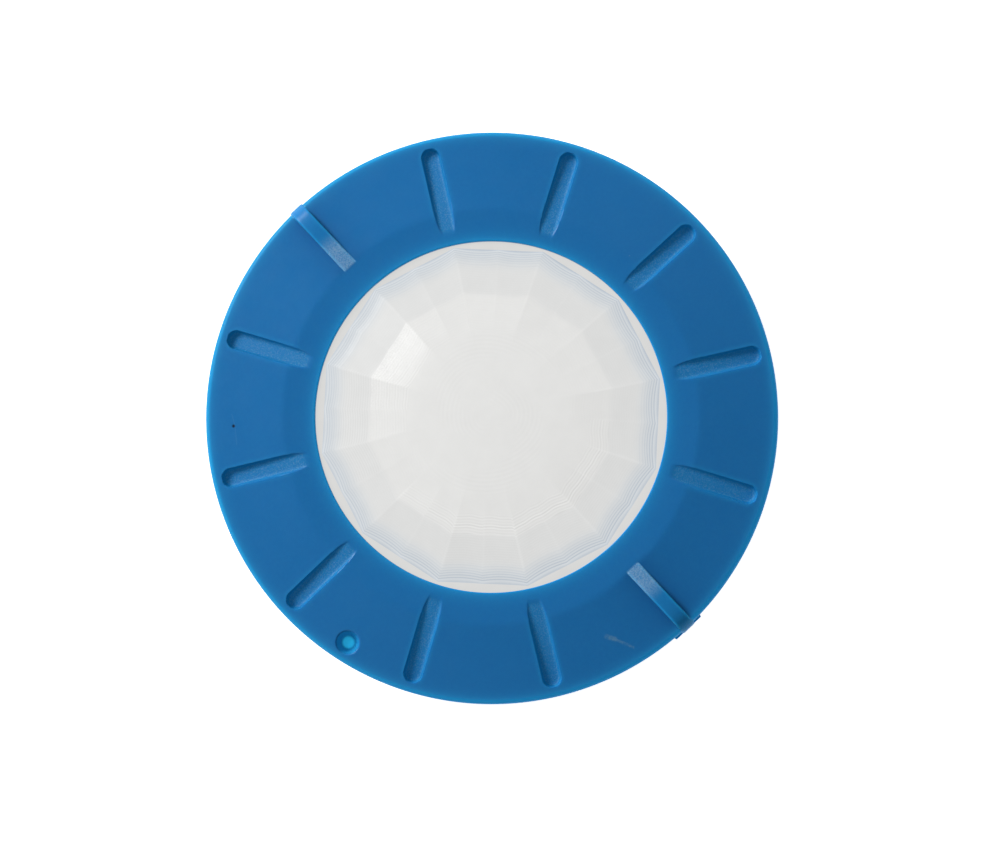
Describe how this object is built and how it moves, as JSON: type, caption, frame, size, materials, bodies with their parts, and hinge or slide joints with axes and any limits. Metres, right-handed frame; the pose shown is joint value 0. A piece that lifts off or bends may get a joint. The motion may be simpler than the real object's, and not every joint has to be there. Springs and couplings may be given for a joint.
{
  "type": "underwater pool light",
  "caption": "Round wall light for a pool: a twist-off grooved ring holds a milky faceted lens over a sealed lamp body held by magnets.",
  "frame": {"origin": "centre of the rear face of the wall pad, the lowest point of the light as it lies on its back", "axes": "+Z out of the wall towards the lens, the axis that the ring turns about; +Y along one of the two raised grip ribs"},
  "size_m": [0.2, 0.2018, 0.06],
  "materials": {
    "ring_blue": "satin",
    "lens_milky": "gloss",
    "slip_nylon": "matte",
    "silicone": "satin",
    "housing_plastic": "satin",
    "cover_plastic": "satin",
    "pad_rubber": "matte",
    "black_seal": "satin",
    "stainless": "satin",
    "nickel_plate": "polished",
    "zinc_steel": "satin",
    "bobbin_plastic": "matte",
    "enamelled_copper": "gloss",
    "ferrite": "matte",
    "aluminium_sheet": "satin",
    "thermal_silicone": "matte",
    "white_board": "satin",
    "led_package": "gloss",
    "white_reflector": "satin",
    "green_board": "satin",
    "capacitor_can": "satin",
    "inductor_ferrite": "matte",
    "chip_epoxy": "matte",
    "spacer_brass": "satin",
    "lead_insulation": "satin"
  },
  "bodies": {
    "housing": {"lens_gasket": "silicone", "housing": "housing_plastic", "rear_cover": "cover_plastic", "cover_seal": "black_seal", "cover_screws": "stainless", "wall_pad": "pad_rubber", "magnets": "nickel_plate", "magnet_keeper": "zinc_steel", "keeper_screws": "stainless", "coil_former": "bobbin_plastic", "receiver_coil": "enamelled_copper", "ferrite_disc": "ferrite", "heat_spreader": "aluminium_sheet", "spreader_screws": "stainless", "thermal_pad": "thermal_silicone", "led_board": "white_board", "led_chips": "led_package", "reflector": "white_reflector", "reflector_screws": "stainless", "driver_board": "green_board", "driver_capacitors": "capacitor_can", "driver_inductor": "inductor_ferrite", "driver_chips": "chip_epoxy", "board_spacers": "spacer_brass", "driver_screws": "stainless", "coil_leads": "lead_insulation", "led_leads": "lead_insulation", "lead_grommet": "black_seal"},
    "lens": {"lens": "lens_milky", "slip_washer": "slip_nylon"},
    "ring": {"lens_ring": "ring_blue"}
  },
  "joints": [
    {"name": "lens_lift", "type": "slide", "parent": "housing", "child": "lens", "axis": [0, 0, 1], "range_m": [0, 0.0041]},
    {"name": "ring_turn", "type": "hinge", "parent": "lens", "child": "ring", "pos_m": [0, 0, 0.03], "axis": [0, 0, 1], "range_deg": [0, 60]}
  ],
  "couplings": [
    {"joint": "lens_lift", "follows": "ring_turn", "m_per_rad": 0.0038197}
  ]
}
